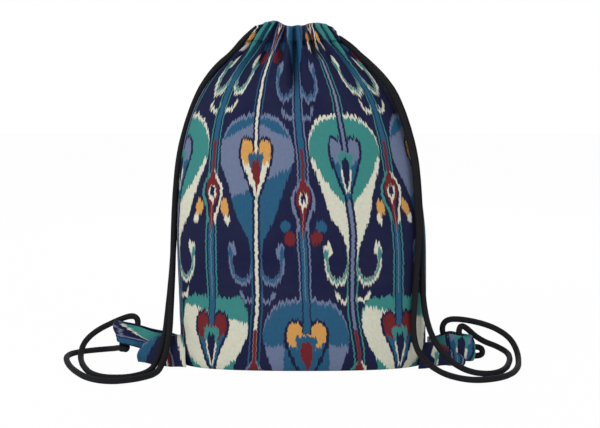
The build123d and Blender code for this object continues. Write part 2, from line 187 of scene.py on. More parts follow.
class BagSizes(PropertyGroup):
    cloth: length_prop("Cloth", "Thickness of the canvas", 0.0012)
    girth: length_prop("Panel width", "Flat width of one panel between its side seams", 0.345)
    wrinkle: length_prop("Wrinkles", "Height of the soft unevenness of the body", 0.0016)
    pucker: length_prop("Puckers", "Depth of the small pleats under the casing", 0.0016)
    puff: length_prop("Casing puff", "How far the casing bulges between its folds", 0.0036)
    cord: length_prop("Cord", "Diameter of the cord", 0.007)
    knot: length_prop("Knot", "Radius of the knot's middle line", 0.0048)
    thread: length_prop("Thread", "Thickness of the sewing thread", 0.0006)
    tab_cloth: length_prop("Tab cloth", "Thickness of the folded tab", 0.0018)


class BagColours(PropertyGroup):
    ground: colour_prop("Ground", "Ground of the print", srgb(17, 21, 61))
    blue: colour_prop("Blue", "Mid blue of the print", srgb(35, 94, 128))
    teal: colour_prop("Teal", "Teal of the print", srgb(60, 143, 136))
    lavender: colour_prop("Lavender", "Grey lavender of the print", srgb(116, 128, 158))
    cream: colour_prop("Cream", "Cream of the print", srgb(232, 230, 208))
    mustard: colour_prop("Mustard", "Mustard of the print", srgb(228, 166, 84))
    red: colour_prop("Red", "Dark red of the print", srgb(122, 30, 30))
    cord: colour_prop("Cord", "Black of the braided cord", srgb(14, 14, 16))
    thread: colour_prop("Thread", "Sewing thread", srgb(46, 42, 90))
    lining: colour_prop("Reverse", "Reverse of the canvas", srgb(120, 124, 150))
    floor: colour_prop("Floor", "Floor", srgb(248, 248, 248))


def sizes():
    return bpy.context.scene.bag_sizes


def colours():
    return bpy.context.scene.bag_colours


# Shader maths

class Value:
    """A shader socket that takes part in Python expressions."""

    def __init__(self, tree, socket):
        self.tree = tree
        self.socket = socket

    def math(self, operation, *values, clamp=False):
        return self.tree.node("ShaderNodeMath", {"operation": operation, "use_clamp": clamp}, values)

    def __add__(self, other):
        return self.math("ADD", self, other)

    def __sub__(self, other):
        return self.math("SUBTRACT", self, other)

    def __rsub__(self, other):
        return self.math("SUBTRACT", other, self)

    def __mul__(self, other):
        return self.math("MULTIPLY", self, other)

    def __truediv__(self, other):
        return self.math("DIVIDE", self, other)

    def __rtruediv__(self, other):
        return self.math("DIVIDE", other, self)

    def __lt__(self, other):
        return self.math("LESS_THAN", self, other)

    def __gt__(self, other):
        return self.math("GREATER_THAN", self, other)

    def __or__(self, other):
        return self.math("MAXIMUM", self, other)

    __radd__ = __add__
    __rmul__ = __mul__

    def size(self):
        return self.math("ABSOLUTE", self)

    def sine(self):
        return self.math("SINE", self)

    def wrap(self, low, high):
        return self.math("WRAP", self, high, low)

    def under(self, edge, soft):
        """1 where this is less than the edge, 0 past it, with a soft step."""
        return self.math("ADD", (edge - self) / soft, 0.5, clamp=True)


class Tree:
    """The nodes of a material, or of a world."""

    def __init__(self, name, store=None):
        self.owner = (bpy.data.materials if store is None else store).new(name)
        self.owner.use_nodes = True
        self.tree = self.owner.node_tree
        self.tree.nodes.clear()

    def node(self, kind, settings=None, values=(), output=0):
        made = self.tree.nodes.new(kind)
        for name, value in (settings or {}).items():
            if name == "points":
                self.set_curve(made.mapping, value)
            else:
                setattr(made, name, value)
        pairs = values.items() if isinstance(values, dict) else enumerate(values)
        for key, value in pairs:
            if isinstance(value, Value):
                self.tree.links.new(value.socket, made.inputs[key])
            else:
                made.inputs[key].default_value = value
        return Value(self, made.outputs[output])

    def set_curve(self, mapping, points):
        curve = mapping.curves[0]
        for spare in range(len(points) - 2):
            curve.points.new(0.5, 0.5)
        for point, (x, y) in zip(curve.points, points):
            point.location = (x, y)
        mapping.extend = "HORIZONTAL"
        mapping.update()

    def curve(self, value, points):
        """A smooth curve through given points, flat past its ends."""
        ordered = sorted(points)
        low = ordered[0][0]
        high = ordered[-1][0]
        top = max(height for place, height in ordered)
        shares = [((place - low) / (high - low), height / top) for place, height in ordered]
        place = (value - low) / (high - low)
        return self.node("ShaderNodeFloatCurve", {"points": shares}, {1: place}) * top

    def mix(self, factor, first, second):
        colour = [tuple(c) + (1.0,) if not isinstance(c, Value) else c for c in (first, second)]
        values = {0: factor, 6: colour[0], 7: colour[1]}
        return self.node("ShaderNodeMix", {"data_type": "RGBA"}, values, output=2)

    def pick(self, factor, first, second):
        """A number between two, by a factor."""
        return self.node("ShaderNodeMix", {"data_type": "FLOAT"}, {0: factor, 2: first, 3: second})

    def axis(self, vector, number):
        """One of a vector's numbers, 0 to 2."""
        return self.node("ShaderNodeSeparateXYZ", None, (vector,), output=number)

    def object_place(self):
        """The place in the object, across and up, in millimetres."""
        place = self.node("ShaderNodeTexCoord", None, (), output=3)
        return self.axis(place, 0) * MILLIMETRES, self.axis(place, 2) * MILLIMETRES

    def vector(self, x, y, z=0.0):
        return self.node("ShaderNodeCombineXYZ", None, (x, y, z))

    def noise(self, vector, scale, detail=2.0, rough=0.5):
        values = {"Vector": vector, "Scale": scale, "Detail": detail, "Roughness": rough}
        return self.node("ShaderNodeTexNoise", {"noise_dimensions": "3D"}, values)

    def surface(self, colour, rough, spec=0.15, bumps=None, bump_depth=0.0002, bump_strength=0.6):
        """The finished surface, with an optional bump."""
        values = {"Base Color": colour if isinstance(colour, Value) else tuple(colour) + (1.0,),
                  "Roughness": rough, "Specular IOR Level": spec}
        if bumps is not None:
            values["Normal"] = self.node(
                "ShaderNodeBump", None,
                {"Strength": bump_strength, "Distance": bump_depth, "Height": bumps})
        return self.show(self.node("ShaderNodeBsdfPrincipled", None, values))

    def show(self, shader, output="ShaderNodeOutputMaterial"):
        """The shader as what the owner shows."""
        made = self.tree.nodes.new(output)
        self.tree.links.new(shader.socket, made.inputs["Surface"])
        return self.owner


def weave(across, up):
    """Plain weave: over and under threads, at a place in millimetres."""
    warp = (across * (math.pi / THREAD_WIDTH)).sine()
    weft = (up * (math.pi / THREAD_WIDTH)).sine()
    return warp.size() * 0.5 + weft.size() * 0.5 + warp * weft * 0.3


# The print: one column of the ikat, repeated a half drop lower in every other column. All in millimetres.
COLUMN_STEP = 55.0
DROP_STEP = 208.0
COLUMN_LOW = -123.0
COLUMN_HIGH = COLUMN_LOW + 2 * DROP_STEP
PRINT_SHIFT = 3.5
# How wide a column's motifs may reach, at each height of the upper half drop
REACH = [(293, 33), (286, 40), (279, 45), (258, 48.5), (236, 46), (213, 42), (200, 37), (185, 31),
         (170, 27), (152, 29), (145, 36), (138, 38), (120, 36), (105, 31), (95, 27), (86, 23)]
DROP = [(294, 0), (291.5, 20), (287, 31), (279, 38.5), (270, 43.5), (258, 46), (247, 46), (236, 43.5),
        (225, 39), (213, 34), (202, 30), (191, 27), (180, 24), (170, 19), (158, 12.5), (146, 8.5),
        (134, 6), (120, 4.5), (112, 0)]
HEART = [(270, 15), (264, 20), (258, 22.5), (250, 23), (242, 21.5), (232, 17.5), (222, 13.5),
         (212, 9.5), (203, 6), (195, 3.5), (190, 0)]
HEART_CORE = [(250, 8), (245, 10), (238, 8.5), (228, 5.5), (220, 3.8), (212, 1.5), (207, 0)]
HEART_SEED = [(243, 0), (240, 4.2), (233, 5.2), (222, 3.8), (212, 1.4), (206, 0)]
TAIL_EDGE = [(245, 44), (236, 38), (226, 33), (216, 26), (206, 17), (197, 10), (189, 3), (184, 0)]
SPINDLE = [(16, 0), (9, 5), (1, 10.5), (-7, 14), (-15, 14), (-24, 11.5), (-34, 8), (-46, 6)]
SPINDLE_SEED = [(12, 1.8), (5, 4.5), (-3, 7.8), (-10, 8.6), (-18, 6.6), (-26, 3.2), (-40, 2), (-58, 0.6)]
SPINDLE_NOTCH = [(-4, 0), (-7, 4.8), (-12, 5.4), (-19, 2.6), (-24, 0)]


def oval(across, up, centre, radii):
    """How far out of an oval a place is, 1 on its edge."""
    x = (across - centre[0]) / radii[0]
    y = (up - centre[1]) / radii[1]
    return (x * x + y * y).math("SQRT", x * x + y * y)


def band(radius, middle, half, soft):
    return (radius - middle).size().under(half, soft)


def between(value, low, high):
    """1 from low to high, 0 outside."""
    return value.under(high, 1.0) * (1 - value.under(low, 1.0))


def ikat(tree, across, up):
    """The colour of the print at a place on the flat cloth, in millimetres."""
    ink = colours()
    streaks = tree.noise(tree.vector(across * 0.50, up * 0.018), 1.0, 1.5) - 0.5
    steps = tree.noise(tree.vector(across * 0.07, up * 0.26, 7.0), 1.0, 1.0) - 0.5
    wander = tree.noise(tree.vector(across * 0.012, up * 0.011, 3.0), 1.0, 1.0) - 0.5
    up = up + streaks * 18.0
    across = across + steps * 3.4 + wander * 10.0 - PRINT_SHIFT

    # Which column a place belongs to, and where it is in that column
    first_column = (across - COLUMN_STEP).wrap(-COLUMN_STEP, COLUMN_STEP)
    second_column = across.wrap(-COLUMN_STEP, COLUMN_STEP)
    first_up = up.wrap(COLUMN_LOW, COLUMN_HIGH)
    second_up = (up + DROP_STEP).wrap(COLUMN_LOW, COLUMN_HIGH)
    lower = [(place - DROP_STEP, COLUMN_STEP - width) for place, width in REACH]
    in_first = first_column.size() < tree.curve(first_up, REACH + lower)
    turn = across * (math.pi / (2 * COLUMN_STEP))
    warm_first = turn.sine() > 0.0
    warm_second = turn.math("COSINE", turn) < 0.0
    way = tree.pick(in_first, warm_second, warm_first)
    side = tree.pick(in_first, second_column, first_column)
    v = tree.pick(in_first, second_up, first_up) - way * (1 - in_first) * 8.0
    x = side.size()

    # The inks of each column
    main = tree.mix(way, ink.blue, ink.teal)
    pale = tree.mix(way, ink.lavender, ink.cream)
    line_ink = tree.mix(in_first, tree.mix(way, ink.lavender, ink.teal), main)
    core_ink = tree.mix(in_first, ink.blue, tree.mix(way, ink.cream, ink.lavender))
    lobe_ink = tree.mix(way, ink.mustard, tree.mix(in_first, ink.red, ink.lavender))
    vee_ink = tree.mix(way, tree.mix(in_first, ink.blue, ink.cream), ink.blue)
    seed_ink = tree.mix(way, ink.red, ink.ground)
    ring_ink = tree.mix(way, ink.lavender, tree.mix(side > 0.0, ink.teal, ink.cream))
    rim_ink = tree.mix(way * (1 - in_first), pale, ink.teal)

    colour = ink.ground

    def lay(mask, over):
        """Lay an ink over what is there, inside the mask."""
        nonlocal colour
        colour = tree.mix(mask, colour, over)

    # Barbs, hooks and dots beside the stem
    lay(band(oval(x, v, (11, 93), (10, 13)), 0.9, 0.17, 0.1) * v.under(92, 3), pale)
    hook = oval(x, v, (17.5, 127), (15, 27))
    lower_half = v.under(131, 4)
    lay(band(hook, 0.9, 0.15, 0.08) * lower_half, pale)
    lay(band(hook, 0.84, 0.07, 0.07) * lower_half, main)
    lay(oval(x, v, (29, 139), (5, 8.5)).under(1, 0.2), pale)
    lay(oval(x, v, (31, 135), (2.6, 7)).under(1, 0.3), main)
    dots = oval(x, v, (17, -29), (5.2, 9)).under(1, 0.2)
    feet = oval(x, v, (20.5, -42), (3.4, 6)).under(1, 0.3)
    cold = 1 - way
    lay(feet * way, ink.cream)
    lay(dots * way, ink.mustard)
    lay(oval(x, v, (20, -41), (6, 6.5)).under(1, 0.2) * cold, ink.blue)
    lay(oval(x, v, (14.5, -55), (6.2, 8.5)).under(1, 0.2) * cold, ink.red)

    # The two thin lines beside the stem
    lay(band(x, 5.9, 0.8, 0.7), line_ink)

    # The big drop
    drop_width = tree.curve(v, DROP)
    drop = x.under(drop_width, 1.0)
    rim = 1 - x.under(tree.curve(v + 4.5, DROP), 1.0)
    middle = between(v, 213 + side * 0.5, 285 - x * 0.45)
    tails = (1 - x.under(tree.curve(v, TAIL_EDGE), 1.0)) * v.under(243, 1.0)
    lower = between(v, 188 + x * 0.8, 266 - side * 0.25)
    patches = (1 - x.under(21, 1.0)) * v.under(238, 1.0)
    pale_part = tree.pick(in_first, tree.pick(way, patches, lower), tree.pick(way, middle, tails))
    fill = tree.mix(rim, tree.mix(pale_part, main, pale), rim_ink)
    lay(drop, fill)

    # Its heart
    arch = (x - 12) * (x - 12) * 0.055
    heart = x.under(tree.curve(v, HEART), 0.8) * (v + arch).under(269, 1.0)
    notch = x.under((v - 250) * 0.5, 0.8)
    inside = (x + 3.4).under(tree.curve(v, HEART), 0.8) * (v + arch).under(265, 1.0) * (1 - notch)
    lay(heart, ink.ground)
    lay(inside, tree.mix(v.under(238 + (x - 12) * 0.6, 1.0), lobe_ink, vee_ink))
    core_edge = tree.curve(v, HEART_CORE)
    core = x.under(core_edge, 0.8) * v.under(250, 1.0)
    lay(core, main)
    seed_edge = tree.curve(v, HEART_SEED)
    white_vee = (x - 2.2).under(seed_edge, 0.8) * way * between(v, 206, 232)
    lay(white_vee, ink.cream)
    lay(x.under(seed_edge, 0.8) * v.under(242, 1.0), seed_ink)

    # The stem, above and below the heart and the spindle
    above = 1 - v.under(252, 1.0)
    below = between(v, 12, 197)
    foot = v.under(-46, 1.0)
    stem = above | below | foot
    core_half = tree.pick(in_first, 3.3, 1.9)
    lay(x.under(4.7, 0.7) * stem, ink.ground)
    lay(x.under(core_half, 0.7) * stem, core_ink)

    # The spindle with its red seed
    spindle_edge = tree.curve(v, SPINDLE)
    in_spindle = between(v, -46, 15)
    lay(x.under(spindle_edge, 0.8) * in_spindle, ring_ink)
    lay((x + 3.4).under(spindle_edge, 0.8) * in_spindle, ink.ground)
    red_line = x.under(1.8, 0.7) * v.under(48, 2.0) * (1 - v.under(10, 1.0))
    red_seed = x.under(tree.curve(v, SPINDLE_SEED), 0.8) * between(v, -56, 12)
    lay(red_line | red_seed, ink.red)
    notch_edge = tree.curve(v, SPINDLE_NOTCH)
    lay(x.under(notch_edge, 0.7) * v.under(-4, 1.0), ink.cream)
    lay((x + 2.2).under(notch_edge, 0.7) * (1 - v.under(-15, 1.0)), ink.ground)
    return colour


def cloth_coordinates(tree):
    """The flat cloth's own coordinates, in millimetres."""
    place = tree.node("ShaderNodeUVMap", {"uv_map": "Cloth"})
    return tree.axis(place, 0) * MILLIMETRES, tree.axis(place, 1) * MILLIMETRES


def printed_canvas():
    """Plain-weave canvas with the print, slightly worn and speckled, with painted shade in the gaps between
    its threads.
    """
    tree = Tree("Printed canvas")
    across, up = cloth_coordinates(tree)
    colour = ikat(tree, across, up)
    threads = weave(across, up)
    slubs = tree.noise(tree.vector(across * 0.9, up * 0.12), 1.0, 2.0)
    fade = tree.noise(tree.vector(across * 0.02, up * 0.02, 5.0), 1.0, 3.0)
    worn = tree.mix(slubs * 0.11 * fade, colour, (0.30, 0.31, 0.40))
    mottle = tree.noise(tree.vector(across * 0.30, up * 0.22, 9.0), 1.0, 4.0)
    # Painted shade: the gaps between the threads are darkened where the weave sinks; the mottle adds a
    # random darker tone of the cloth.
    deep = tree.mix((1 - threads) * 0.20 + mottle * 0.26, worn, (0.0, 0.002, 0.01))
    rough = slubs * 0.15 + 0.72
    return tree.surface(deep, rough, 0.12, threads + slubs * 0.8, 0.00018, 0.55)


def reverse_canvas():
    """The canvas's reverse, where the print shows only as a pale tint."""
    tree = Tree("Canvas reverse")
    x, z = tree.object_place()
    threads = weave(x, z)
    tint = tree.noise(tree.vector(x * 0.05, z * 0.02), 1.0, 3.0)
    colour = tree.mix(tint, colours().lining, colours().lavender)
    shaded = tree.mix((1 - threads) * 0.25, colour, colours().ground)
    return tree.surface(shaded, 0.85, 0.15, threads, 0.00018, 0.5)


def braided_cord():
    """Black braid: two sets of strands that cross round the cord, their crowns painted lighter and the
    grooves between them painted shade.
    """
    tree = Tree("Braided cord")
    place = tree.node("ShaderNodeUVMap", {"uv_map": "Cord"})
    around = tree.axis(place, 0) * BRAID_STRANDS
    along = tree.axis(place, 1) * MILLIMETRES * BRAID_PITCH
    right = (around + along) * math.pi
    left = (around - along) * math.pi
    over = right.sine().size() | left.sine().size()
    fluff = tree.noise(tree.vector(around * 3.0, along * 5.0), 1.0, 2.0)
    # Painted shade in the braid's grooves: where the strands sink the black stays darkest and the crowns are
    # lighter. The fluff adds a random tone.
    colour = tree.mix(over * 0.35 + fluff * 0.3, colours().cord, (0.020, 0.020, 0.024))
    return tree.surface(colour, fluff * 0.2 + 0.66, 0.12, over + fluff * 0.4, 0.0004, 0.8)


def sewing_thread():
    """Twisted thread: fine slanting strands, their crowns painted lighter as a soft sheen."""
    tree = Tree("Sewing thread")
    x, z = tree.object_place()
    twist = (x + z) * (2 * math.pi / 0.5)
    strands = twist.sine() * 0.5 + 0.5
    # Painted sheen: the crowns of the twisted strands are lightened towards lavender.
    colour = tree.mix(strands * 0.4, colours().thread, colours().lavender)
    return tree.surface(colour, 0.6, 0.1, strands, 0.0001, 0.5)


def floor_material():
    """A pale floor that looks white from the camera and keeps the soft shadow."""
    tree = Tree("Floor")
    place = tree.node("ShaderNodeTexCoord", None, (), output=3)
    grain = tree.noise(place, 3.0, 2.0)
    pale = tree.mix(grain * 0.02, colours().floor, (0.9, 0.9, 0.9))
    diffuse = tree.node("ShaderNodeBsdfPrincipled", None, {"Base Color": pale, "Roughness": 0.9})
    white = tree.node("ShaderNodeEmission", None, {"Color": (1.0, 1.0, 1.0, 1.0), "Strength": 1.0})
    seen = tree.node("ShaderNodeLightPath", None, (), output=0) * 0.97
    return tree.show(tree.node("ShaderNodeMixShader", None, (seen, diffuse, white)))


# Shapes

def smooth_between(table, place, column):
    """A smooth curve through a table's column, by its first column."""
    if place <= table[0][0]:
        return table[0][column]
    for index in range(1, len(table)):
        if place <= table[index][0]:
            break
    else:
        return table[-1][column]
    before, after = table[index - 1], table[index]
    span = after[0] - before[0]
    share = (place - before[0]) / span

    def slope(middle):
        low = table[max(middle - 1, 0)]
        high = table[min(middle + 1, len(table) - 1)]
        return (high[column] - low[column]) / (high[0] - low[0])

    square, cube = share * share, share * share * share
    near = (2 * cube - 3 * square + 1) * before[column] + (3 * square - 2 * cube) * after[column]
    return near + ((cube - 2 * square + share) * slope(index - 1) + (cube - square) * slope(index)) * span


def ramp(value, low, high):
    """0 before low, 1 after high, smooth between."""
    share = min(max((value - low) / (high - low), 0.0), 1.0)
    return share * share * (3 - 2 * share)


def blend_numbers(first, second, share):
    return first + (second - first) * share


def add_object(name, data):
    made = bpy.data.objects.new(name, data)
    bpy.context.scene.collection.objects.link(made)
    return made


def aim(piece, place, target):
    piece.location = place
    piece.rotation_euler = (Vector(target) - piece.location).to_track_quat("-Z", "Y").to_euler()


def finish_mesh(name, bm, material):
    """The bmesh as an object at the origin."""
    mesh = bpy.data.meshes.new(name)
    bm.to_mesh(mesh)
    bm.free()
    for face in mesh.polygons:
        face.use_smooth = True
    mesh.materials.append(material)
    piece = add_object(name, mesh)
    return piece


def shaped_grid(name, across, along, place, uv, layer, material, flip=False, merge=1e-6):
    """A grid whose points are moved by place(s, t), with s and t from 0 to 1, and whose UV is uv(s, t)."""
    bm = bmesh.new()
    bmesh.ops.create_grid(bm, x_segments=across, y_segments=along, size=0.5)
    coordinates = bm.loops.layers.uv.new(layer)
    for face in bm.faces:
        for loop in face.loops:
            loop[coordinates].uv = uv(loop.vert.co.x + 0.5, loop.vert.co.y + 0.5)
    for vert in bm.verts:
        vert.co = place(min(max(vert.co.x + 0.5, 0.0), 1.0), min(max(vert.co.y + 0.5, 0.0), 1.0))
    bmesh.ops.remove_doubles(bm, verts=bm.verts, dist=merge)
    if flip:
        bmesh.ops.reverse_faces(bm, faces=bm.faces)
    return finish_mesh(name, bm, material)


def cloth_piece(name, across, along, place, uv, material, thickness, flip=False):
    """A grid of cloth, with its thickness inwards from the face that shows."""
    piece = shaped_grid(name, across, along, place, uv, "Cloth", material, flip)
    solid = piece.modifiers.new("Thickness", "SOLIDIFY")
    solid.thickness = thickness
    solid.offset = -1.0
    solid.use_even_offset = False
    return piece


class BagShape:
    """The filled bag's surface. One side is -1 for the front and 1 for the back."""

    def __init__(self):
        low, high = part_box("front_panel")
        casing_low, casing_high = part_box("front_casing")
        self.slit = high.z
        self.half_width = (high.x - low.x) / 2
        self.half_depth = -low.y
        self.height = casing_high.z
        self.casing = casing_low.z
        self.rows = [(rise * self.height, wide * self.half_width, deep * self.half_depth,
                      lean * self.half_width) for rise, wide, deep, lean in OUTLINE]
        self.rounds = self.measure_round()
        self.climb = self.measure_climb()

    def measure_round(self):
        """Turns round the body at equal steps along its girth."""
        steps = 400
        lengths = [0.0]
        wide, deep = self.half_width, self.half_depth
        for step in range(steps):
            turns = [math.pi * (step + k) / steps for k in (0, 1)]
            run = math.hypot(wide * (math.cos(turns[1]) - math.cos(turns[0])),
                             deep * (math.sin(turns[1]) - math.sin(turns[0])))
            lengths.append(lengths[-1] + run)
        return [length / lengths[-1] for length in lengths]

    def measure_climb(self):
        """How far the cloth runs up to each height, at the middle of a panel."""
        climb = [0.0]
        steps = 200
        for step in range(steps):
            low, high = (self.casing * (step + k) / steps for k in (0, 1))
            deep = smooth_between(self.rows, high, 2) - smooth_between(self.rows, low, 2)
            climb.append(climb[-1] + math.hypot(high - low, deep))
        return climb

    def run_up(self, height):
        place = min(max(height / self.casing, 0.0), 1.0) * (len(self.climb) - 1)
        index = min(int(place), len(self.climb) - 2)
        return blend_numbers(self.climb[index], self.climb[index + 1], place - index)

    def turn(self, share):
        """The turn round the body at a share of the girth, -1 at the left seam and 1 at the right."""
        wanted = (share + 1) / 2
        steps = len(self.rounds) - 1
        low, high = 0, steps
        while high - low > 1:
            middle = (low + high) // 2
            if self.rounds[middle] <= wanted:
                low = middle
            else:
                high = middle
        part = (wanted - self.rounds[low]) / (self.rounds[high] - self.rounds[low])
        return math.pi * (low + part) / steps

    def point(self, share, height, side, end_depth=0.0):
        """A place on the smooth surface and the way out from it."""
        wide = smooth_between(self.rows, height, 1)
        deep = smooth_between(self.rows, height, 2)
        turn = self.turn(share)
        boxy = blend_numbers(0.62, 1.0, ramp(height, 0.0, 0.09))
        cosine, sine = math.cos(turn), max(math.sin(turn), 0.0)
        squared = abs(cosine) ** blend_numbers(0.86, 1.0, ramp(height, 0.0, 0.09))
        x = -wide * math.copysign(squared, cosine)
        y = side * (end_depth + (deep - end_depth) * sine ** boxy)
        out = Vector((-cosine / wide, side * sine / deep, 0.0)).normalized()
        return Vector((x + smooth_between(self.rows, height, 3), y, height)), out


def fold_depth(folds, share, height, casing, top):
    """How far the folds push the cloth in, and how much of a fold is here."""
    depth = 0.0
    cover = 0.0
    for top_share, foot_share, foot, deep, half in folds:
        if height <= foot:
            continue
        rise = ramp(height, foot, foot + 0.55 * (casing - foot))
        middle = blend_numbers(foot_share, top_share, (height - foot) / (top - foot))
        offset = abs(share - middle) / half
        shape = math.exp(-offset ** 1.7)
        depth += deep * rise * shape
        cover = max(cover, rise * shape)
    return depth, cover


def cloth_row(t):
    """Which part of the cloth's run a row is in, and how far along that part."""
    parts = [("base", 0.08), ("wall", 0.44), ("gather", 0.18), ("casing", 0.15), ("fold", 0.05),
             ("hem", 0.10)]
    start = 0.0
    for name, share in parts:
        if t <= start + share or name == "hem":
            return name, min((t - start) / share, 1.0)
        start += share


def make_cloth(shape, word, side, folds, material):
    """One panel of the bag, from the base seam up over its casing and down inside the mouth."""
    look = sizes()
    seam_reach = 0.008
    hem_gap = 0.0042

    def casing_top(share):
        return shape.height - smooth_between(FRONT_EDGE if side < 0 else BACK_EDGE, share, 1)

    def surface(share, height):
        in_casing = ramp(height, shape.casing, shape.casing + 0.003)
        place, out = shape.point(share, height, side, 0.0095 * in_casing)
        depth, cover = fold_depth(folds, share, height, shape.casing, shape.height)
        gather = ramp(height, 0.318, shape.casing)
        edge = 1 - abs(share) ** 8
        small = math.sin(31.0 * share + 2.0 * side) + 0.6 * math.sin(53.0 * share + height * 40)
        puff = look.puff * gather * (1 - cover) * edge
        waist = 0.0007 * math.exp(-((height - shape.casing - 0.0045) / 0.0018) ** 2)
        soften = blend_numbers(1.0, 0.44, in_casing)
        crumple = noise.noise(Vector((place.x / 0.052, place.y / 0.052 + side * 9, height / 0.075)))
        crumple += 0.45 * noise.noise(Vector((place.x / 0.021, side * 5.0, height / 0.034)))
        body = look.wrinkle * crumple * ramp(height, 0.0, 0.03) * edge
        corner = ramp(abs(share), 0.55, 0.95) * (1 - ramp(height, 0.03, 0.11)) * edge
        body += 0.0011 * corner * math.sin((height - abs(place.x) * 0.55) / 0.0048)
        push = puff + body + look.pucker * gather * small * 0.5 * edge - waist
        push -= depth * soften * edge
        return place, out, push

    def place(s, t):
        share = 2 * s - 1
        part, along = cloth_row(t)
        if part == "base":
            outer = shape.point(share, 0.0, side)[0]
            seam = seam_reach * (1 - abs(share) ** 4)
            return Vector((outer.x, blend_numbers(seam, outer.y, along), 0.0004 * (1 - along)))
        if part == "wall":
            spot, out, push = surface(share, shape.slit * along ** 1.25)
            return spot + out * push
        if part == "gather":
            spot, out, push = surface(share, blend_numbers(shape.slit, shape.casing, along))
            return spot + out * push
        top = casing_top(share)
        if part == "casing":
            spot, out, push = surface(share, blend_numbers(shape.casing, top - 0.0026, along))
            return spot + out * (push - 0.0012 * along ** 4)
        outer, out, push = surface(share, top - 0.0026)
        outer = outer + out * (push - 0.0012)
        inner = shape.point(share, top - 0.0026, side)[0]
        inner = Vector((inner.x * 0.985, side * blend_numbers(0.0016, hem_gap, 1 - share * share), inner.z))
        if part == "fold":
            turn = math.pi * along
            middle = (outer + inner) / 2
            return middle + (outer - inner) / 2 * math.cos(turn) + Vector((0, 0, 0.0034 * math.sin(turn)))
        wave = 0.0008 * math.sin(23 * share + side)
        low = Vector((inner.x * 1.04, inner.y + side * wave, shape.casing + 0.001))
        return inner.lerp(low, along)

    def uv(s, t):
        share = 2 * s - 1
        part, along = cloth_row(t)
        u = -side * share * look.girth / 2
        if part == "base":
            return u, -0.056 * (1 - along)
        if part == "wall":
            return u, shape.run_up(shape.slit * along ** 1.25)
        if part == "gather":
            return u, shape.run_up(blend_numbers(shape.slit, shape.casing, along))
        full = shape.run_up(shape.casing)
        rises = {"casing": (0.0, 0.024), "fold": (0.024, 0.036), "hem": (0.036, 0.058)}
        return u, full + blend_numbers(*rises[part], along)

    piece = cloth_piece(f"{word}_canvas", 190, 172, place, uv, material, look.cloth, flip=side > 0)
    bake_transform(piece)
    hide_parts(f"{word}_panel", f"{word}_gathers", f"{word}_casing")
    return surface


def stitch_mesh(name, ends, thickness, material):
    """Short stitches, each a small rounded bar between two ends."""
    bm = bmesh.new()
    for start, stop, out in ends:
        run = stop - start
        made = bmesh.ops.create_icosphere(bm, subdivisions=1, radius=0.5)
        along = run.normalized()
        up = out.cross(along).normalized()
        turn = Matrix((along, up, along.cross(up))).transposed().to_4x4()
        size = Matrix.Diagonal((run.length + thickness, thickness, thickness, 1.0))
        place = Matrix.Translation((start + stop) / 2) @ turn @ size
        bmesh.ops.transform(bm, matrix=place, verts=made["verts"])
    return finish_mesh(name, bm, material)


def casing_stitches(surface, word, material):
    """The row of stitches that closes the casing."""
    look = sizes()
    count = 38
    half = 0.0085
    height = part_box(f"{word}_casing_stitches")[0].z + look.thread / 2
    ends = []
    for number in range(count):
        middle = 0.93 * (2 * number / (count - 1) - 1)
        spots = []
        for share in (middle - half, middle + half):
            spot, out, push = surface(share, height)
            spots.append(spot + out * (push + look.thread * 0.3))
        ends.append((spots[0], spots[1], out))
    piece = stitch_mesh(f"{word}_stitching", ends, look.thread, material)
    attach(piece, f"{word}_mouth")
    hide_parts(f"{word}_casing_stitches")


# Cords

def route_line(points, resolution=10):
    """The smooth line of a route, read from its NURBS spline."""
    curve = bpy.data.curves.new("route", "CURVE")
    curve.dimensions = "3D"
    curve.resolution_u = resolution
    spline = curve.splines.new("NURBS")
    spline.points.add(len(points) - 1)
    for point, spot in zip(spline.points, points):
        point.co = (*spot, 1.0)
    spline.order_u = 3
    spline.use_endpoint_u = True
    holder = bpy.data.objects.new("route", curve)
    mesh = bpy.data.meshes.new_from_object(holder)
    line = [vert.co.copy() for vert in mesh.vertices]
    bpy.data.meshes.remove(mesh)
    bpy.data.objects.remove(holder)
    bpy.data.curves.remove(curve)
    return line


def frames_along(line):
    """A turn-free pair of cross directions at each point of a line."""
    frames = []
    across = None
    for index, spot in enumerate(line):
        ahead = (line[min(index + 1, len(line) - 1)] - line[max(index - 1, 0)]).normalized()
        if across is None:
            across = ahead.orthogonal().normalized()
        across = (across - ahead * across.dot(ahead)).normalized()
        frames.append((across, ahead.cross(across)))
    return frames


def tube(name, line, radius, material, sides=12, start_run=0.0):
    """A round cord along a line, with its braid's coordinates, closed at both ends."""
    frames = frames_along(line)
    runs = [start_run]
    for before, after in zip(line, line[1:]):
        runs.append(runs[-1] + (after - before).length)
    last = len(line) - 1

    def place(s, t):
        index = round(t * last)
        across, up = frames[index]
        turn = 2 * math.pi * s
        cosine, sine = math.cos(turn), math.sin(turn)
        spread = radius * (1 + 0.035 * noise.noise(Vector((runs[index] * 90, cosine, sine))))
        return line[index] + (across * cosine + up * sine) * spread

    def uv(s, t):
        return s, runs[round(t * last)]

    piece = shaped_grid(name, sides, last, place, uv, "Cord", material, merge=2e-6)
    bm = bmesh.new()
    bm.from_mesh(piece.data)
    rims = [edge for edge in bm.edges if edge.is_boundary]
    bmesh.ops.holes_fill(bm, edges=rims, sides=0)
    bmesh.ops.recalc_face_normals(bm, faces=bm.faces)
    bm.to_mesh(piece.data)
    bm.free()
    return piece, runs[-1] - runs[0]


